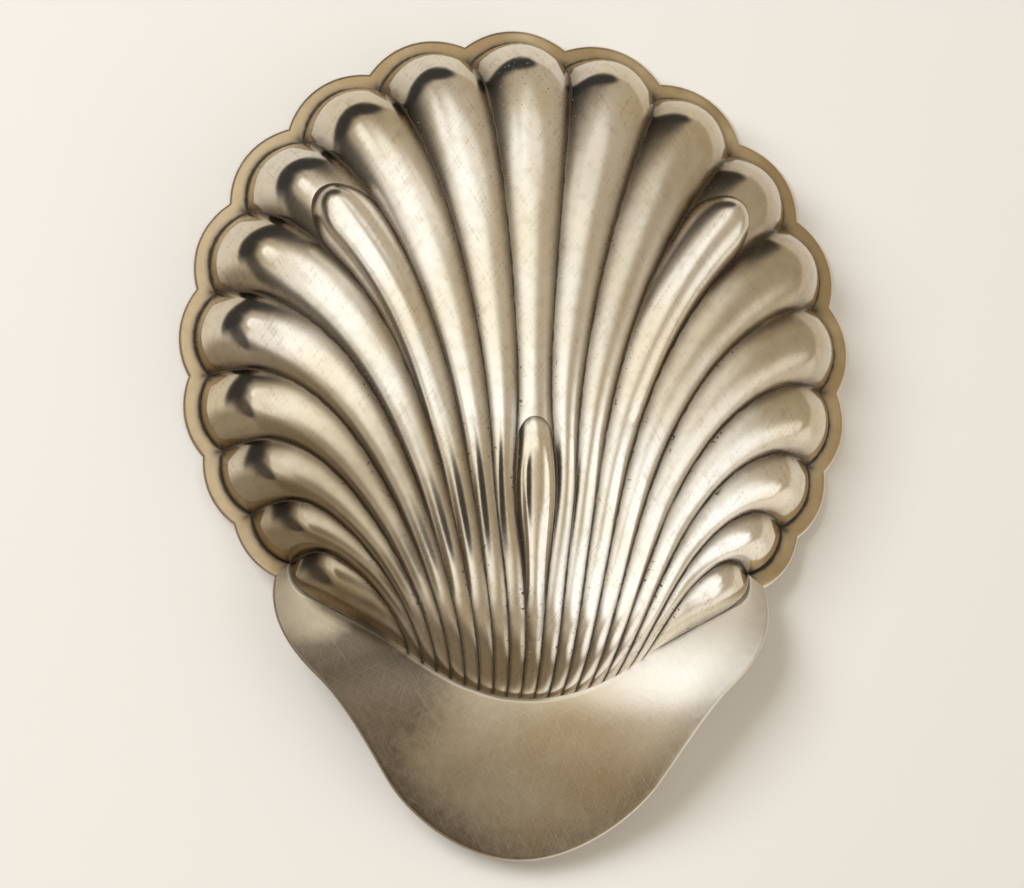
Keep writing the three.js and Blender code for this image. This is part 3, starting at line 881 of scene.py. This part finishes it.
# %% World
ROOM = (0.52, 0.445, 0.335, 1)
ABOVE = (0.76, 0.69, 0.58, 1)
ABOVE_DIM = (0.34, 0.28, 0.21, 1)
DIM_SIDE = (0.23, 0.18, 0.12, 1)
CURTAIN = (0.98, 0.92, 0.83, 1)
WINDOW = (1.22, 1.19, 1.13, 1)
DARK_CORNER = (0.045, 0.042, 0.04, 1)
SHADED = (0.11, 0.095, 0.08, 1)
WALL = (0.68, 0.645, 0.57, 1)
PANELS = [  # colour, direction, degrees of full colour, degrees where it ends
    (ABOVE_DIM, (-130, 25), 28, 50),
    (DIM_SIDE, (-98, -30), 24, 46),
    (CURTAIN, (-42, 12), 18, 34),
    (WINDOW, (-32, -40), 13, 28),
    (DARK_CORNER, (-158, -20), 11, 24),
    (SHADED, (-172, -14), 8, 30),
]
FAN_CORNER = [((150, 8), 14, 44), ((116, 6), 14, 42), ((94, -7), 19, 31)]  # dark, with a crisp upper edge
FAN_CORNER_TOP = (0.33, 0.4)  # sines of the heights where it ends


def photo_direction(angle, height):
    """Unit vector in the row frame; the photograph's right is -X and its top is +Y."""
    angle, height = np.radians(angle), np.radians(height)
    return (-np.cos(height) * np.cos(angle), np.cos(height) * np.sin(angle), np.sin(height))


def panel(f, sight, direction, full, none):
    """1 within `full` degrees of a direction, eased to 0 at `none` degrees."""
    toward = {0: sight, 1: photo_direction(*direction)}
    near = f.node("ShaderNodeVectorMath", {"operation": "DOT_PRODUCT"}, toward, "Value")
    return near.step(np.cos(np.radians(none)), np.cos(np.radians(full)))


world = bpy.data.worlds.new("room")
bpy.context.scene.world = world
world.use_nodes = True
f = Finish(world.node_tree)
sight = f.node("ShaderNodeTexCoord", {}, {}, "Generated")
up = f.axis(sight, "Z")
room = f.blend(up.step(0.0, 0.2), ROOM, ABOVE)
for color, *where in PANELS:
    room = f.blend(panel(f, sight, *where), room, color)
corner = largest([panel(f, sight, *where) for where in FAN_CORNER]) * (1 - up.step(*FAN_CORNER_TOP))
room = f.blend(corner, room, DARK_CORNER)
seen = f.node("ShaderNodeLightPath", {}, {}, "Is Camera Ray")
background = f.node("ShaderNodeBackground", {}, {"Color": f.blend(seen, room, WALL), "Strength": 1.0})
f.node("ShaderNodeOutputWorld", {}, {"Surface": background})
print("room with", len(PANELS) + len(FAN_CORNER), "panels")

# %% [markdown]
# ## Cards close to the dish
# Pale and dark cards near the dish show in some flutes and miss others, because each flute sees them from
# another place. A painted room is too far away for that, so the cards are round patches on two clear sheets
# between the dish and the camera, which only reflections see. They could be lamps with a shape, but
# patches fade out at their edges.

# %% Cards
LAMPLIT = (1.31, 1.3, 1.25, 1)
DAYLIGHT = (1.34, 1.35, 1.35, 1)
CARD_HALF = 1.0  # metres
FAR_BELOW, NEAR_BELOW = 220, 60  # millimetres below the rim


def card_sheet(name, below_rim, patches):
    """Round patches of colour on a clear sheet. A patch has its place, in millimetres to the right of and
    above the rim's centre in the photograph, and the radii where it starts to fade and where it ends."""
    height = RIM_CENTRE[2] - below_rim
    sheet = flat_sheet(name, CARD_HALF, height / MM_IN_M)
    sheet.visible_camera = False
    material, f, place = new_finish(name)
    cover, glow = 0, LAMPLIT
    for color, x, y, full, none in patches:
        spot = np.array([-x, y + RIM_CENTRE[1], height]) / MM_IN_M
        patch = f.near(place, spot.tolist(), full / MM_IN_M, none / MM_IN_M)
        cover, glow = patch.larger(cover), f.blend(patch, glow, color)
    clear = f.node("ShaderNodeBsdfTransparent", {}, {})
    shine = f.node("ShaderNodeEmission", {}, {"Color": glow, "Strength": 1.0})
    patched = f.node("ShaderNodeMixShader", {}, {0: cover, 1: clear, 2: shine})
    f.node("ShaderNodeOutputMaterial", {}, {"Surface": patched})
    sheet.data.materials.append(material)
    print(name, len(patches), "patches at", height, "mm")


card_sheet("far_cards", FAR_BELOW, [
    (LAMPLIT, -76, 30, 72, 130),
    (LAMPLIT, -20, 150, 45, 105),
    (LAMPLIT, -178, 140, 45, 88),
    (LAMPLIT, 15, 75, 20, 65),
])
card_sheet("near_cards", NEAR_BELOW, [
    (CURTAIN, 8, 56, 13, 25),
    (CURTAIN, -62, 22, 12, 24),
    (CURTAIN, -72, -8, 12, 26),
    (LAMPLIT, -46, 6, 8, 16),
    (LAMPLIT, -20, 9, 13, 23),
    (DIM_SIDE, -38, -32, 14, 23),
    (DARK_CORNER, -10, -17, 8, 14),
    (DAYLIGHT, 44, -23, 17, 31),
    (DAYLIGHT, 66, -33, 16, 30),
    (DAYLIGHT, 28, -38, 13, 23),
])

# %% [markdown]
# ## Lamps
# Paper and table are matt, so they need lamps, and so does the soft shadow beside the dish. A sun lamp
# would light them too, but its shadow has a hard edge, and a large square lamp gives a soft one. One lamp
# shines on the paper from below and one on the table from above. The metal shows the room instead of
# their outlines.


# %% Lamps
def lamp(name, position, size, power, color):
    """A square soft lamp aimed at the middle of the dish, unseen in reflections."""
    light = bpy.data.lights.new(name, "AREA")
    light.size, light.energy, light.color = size, power, color
    made = bpy.data.objects.new(name, light)
    made.location = position
    aim = Vector((0, 0, rim_height / 2)) - Vector(position)
    made.rotation_euler = aim.to_track_quat("-Z", "Y").to_euler()
    made.visible_glossy = False
    bpy.context.scene.collection.objects.link(made)
    print(name, power, "W from", position)


lamp("key_below", (0.92, 0.45, -0.95), size=0.8, power=14.5, color=(1, 0.99, 0.97))
lamp("key_above", (-0.6, -0.5, 1.0), size=0.7, power=8, color=(1, 0.98, 0.95))
bpy.context.scene.view_settings.view_transform = "Standard"

# %% [markdown]
# ## Camera
# The photograph was taken from well away and a little from the apron's left, which shows in how far the
# feet and the creases stand out of line with the rim. The camera aims at what the middle of the picture
# shows in the rim's plane. A track-to constraint would aim it as well, but three axes worked out once leave
# nothing that moves.

# %% Camera
SIGHT_SLOPE = (0.178, -0.153)  # of the line to the camera, across and along the dish
AIM = Vector((0.0004, 0.0001, rim_height))
CAMERA_DISTANCE = 1.4
PIXEL_ON_RIM = 0.1691e-3  # metres of the rim's plane in one pixel
TILT = 0.9865  # mean of the cosines of the two slopes
IMAGE_WIDTH = 1024
SENSOR_WIDTH = 36  # millimetres
FAR_END = 20  # metres

line = Vector((*SIGHT_SLOPE, -1)).normalized()
right = Vector((0, 1, 0)).cross(line).normalized()
turn = Matrix((right, line.cross(right), line)).transposed()
lens = bpy.data.cameras.new("camera")
lens.sensor_width = SENSOR_WIDTH
lens.lens = SENSOR_WIDTH * CAMERA_DISTANCE / (IMAGE_WIDTH * PIXEL_ON_RIM * TILT)
lens.clip_end = FAR_END
camera = bpy.data.objects.new("camera", lens)
camera.matrix_world = Matrix.Translation(AIM + line * CAMERA_DISTANCE) @ turn.to_4x4()
bpy.context.scene.collection.objects.link(camera)
bpy.context.scene.camera = camera
print("lens", round(lens.lens, 1), "mm at", camera.location)

# %% [markdown]
